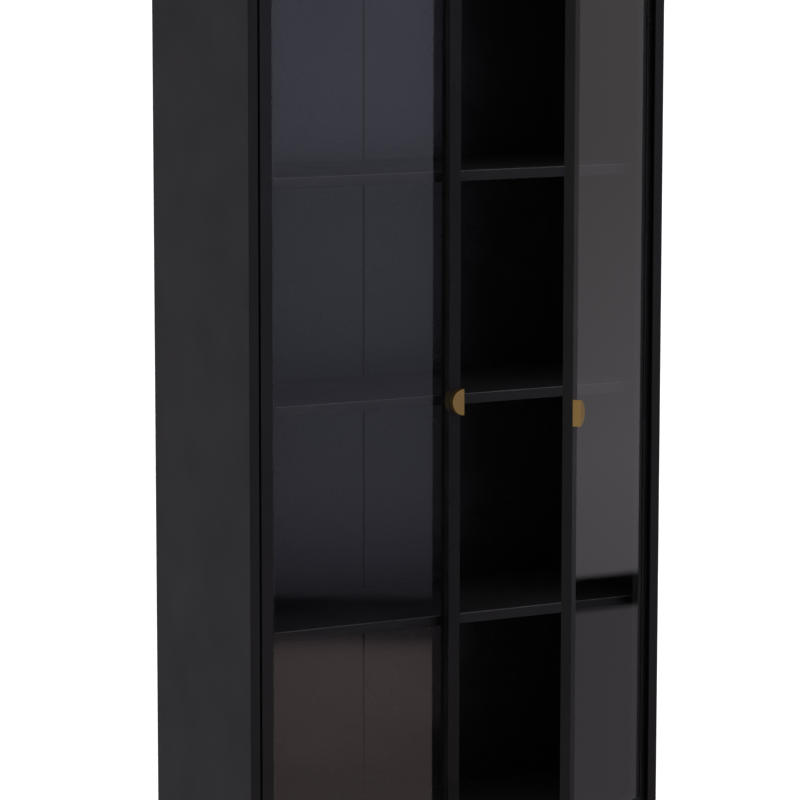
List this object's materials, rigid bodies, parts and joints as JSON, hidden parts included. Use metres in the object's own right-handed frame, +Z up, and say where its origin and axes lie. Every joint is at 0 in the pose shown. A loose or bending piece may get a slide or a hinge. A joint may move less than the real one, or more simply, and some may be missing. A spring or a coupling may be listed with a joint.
{
  "type": "china cabinet with glass doors",
  "caption": "Tall black display cabinet with fixed and loose shelves behind hinged glass doors in slim frames, with half-round brass pulls and a low steel base.",
  "frame": {"origin": "on the floor, in the middle of the footprint with the right door ajar: midway between the side panels and 60 mm behind the plane of the carcass front", "axes": "+X to the right of someone facing the doors, +Y towards the back, +Z up"},
  "size_m": [0.9, 0.6381, 1.8],
  "materials": {
    "black_board": "black satin lacquer",
    "black_hardboard": "black matt lacquer",
    "black_frame": "black satin powder coat",
    "smoked_glass": "polished",
    "black_steel": "black fine-textured powder coat",
    "satin_brass": "satin",
    "zinc_steel": "zinc plated",
    "black_plastic": "matt",
    "black_rubber": "matt",
    "beech": "unfinished",
    "nylon": "matt"
  },
  "bodies": {
    "carcass": {"back_joining_strip": "black_plastic", "back_panel_left": "black_hardboard", "back_panel_right": "black_hardboard", "base_front_rail": "black_steel", "base_rear_rail": "black_steel", "base_screws": "zinc_steel", "base_side_rails": "black_steel", "bottom_panel": "black_board", "cam_bolts": "zinc_steel", "cam_locks": "zinc_steel", "catch_screws": "zinc_steel", "door_stops": "black_rubber", "left_magnet_catch": "black_plastic", "left_pivot_pins": "zinc_steel", "left_pivot_plates": "zinc_steel", "left_side_panel": "black_board", "left_wall_bracket": "zinc_steel", "leg_caps": "black_plastic", "leg_front_left": "black_steel", "leg_front_right": "black_steel", "leg_rear_left": "black_steel", "leg_rear_right": "black_steel", "lower_shelf": "black_board", "lower_shelf_pins": "zinc_steel", "middle_shelf": "black_board", "pivot_plate_screws": "zinc_steel", "right_magnet_catch": "black_plastic", "right_pivot_pins": "zinc_steel", "right_pivot_plates": "zinc_steel", "right_side_panel": "black_board", "right_wall_bracket": "zinc_steel", "top_panel": "black_board", "upper_shelf": "black_board", "upper_shelf_pins": "zinc_steel", "wall_bracket_screws": "zinc_steel", "wood_dowels": "beech"},
    "left_door": {"left_door_bottom_rail": "black_frame", "left_door_corner_keys": "zinc_steel", "left_door_gasket": "black_rubber", "left_door_glass": "smoked_glass", "left_door_handle": "satin_brass", "left_door_handle_screws": "zinc_steel", "left_door_hinge_stile": "black_frame", "left_door_meeting_stile": "black_frame", "left_door_pivot_bushes": "nylon", "left_door_strike_plate": "zinc_steel", "left_door_top_rail": "black_frame"},
    "right_door": {"right_door_bottom_rail": "black_frame", "right_door_corner_keys": "zinc_steel", "right_door_gasket": "black_rubber", "right_door_glass": "smoked_glass", "right_door_handle": "satin_brass", "right_door_handle_screws": "zinc_steel", "right_door_hinge_stile": "black_frame", "right_door_meeting_stile": "black_frame", "right_door_pivot_bushes": "nylon", "right_door_strike_plate": "zinc_steel", "right_door_top_rail": "black_frame"}
  },
  "joints": [
    {"name": "left_door_hinge", "type": "hinge", "parent": "carcass", "child": "left_door", "pos_m": [-0.414, -0.052, 0.95], "axis": [0, 0, -1], "range_deg": [0, 110]},
    {"name": "right_door_hinge", "type": "hinge", "parent": "carcass", "child": "right_door", "pos_m": [0.414, -0.052, 0.95], "axis": [0, 0, 1], "range_deg": [-37, 73]}
  ]
}
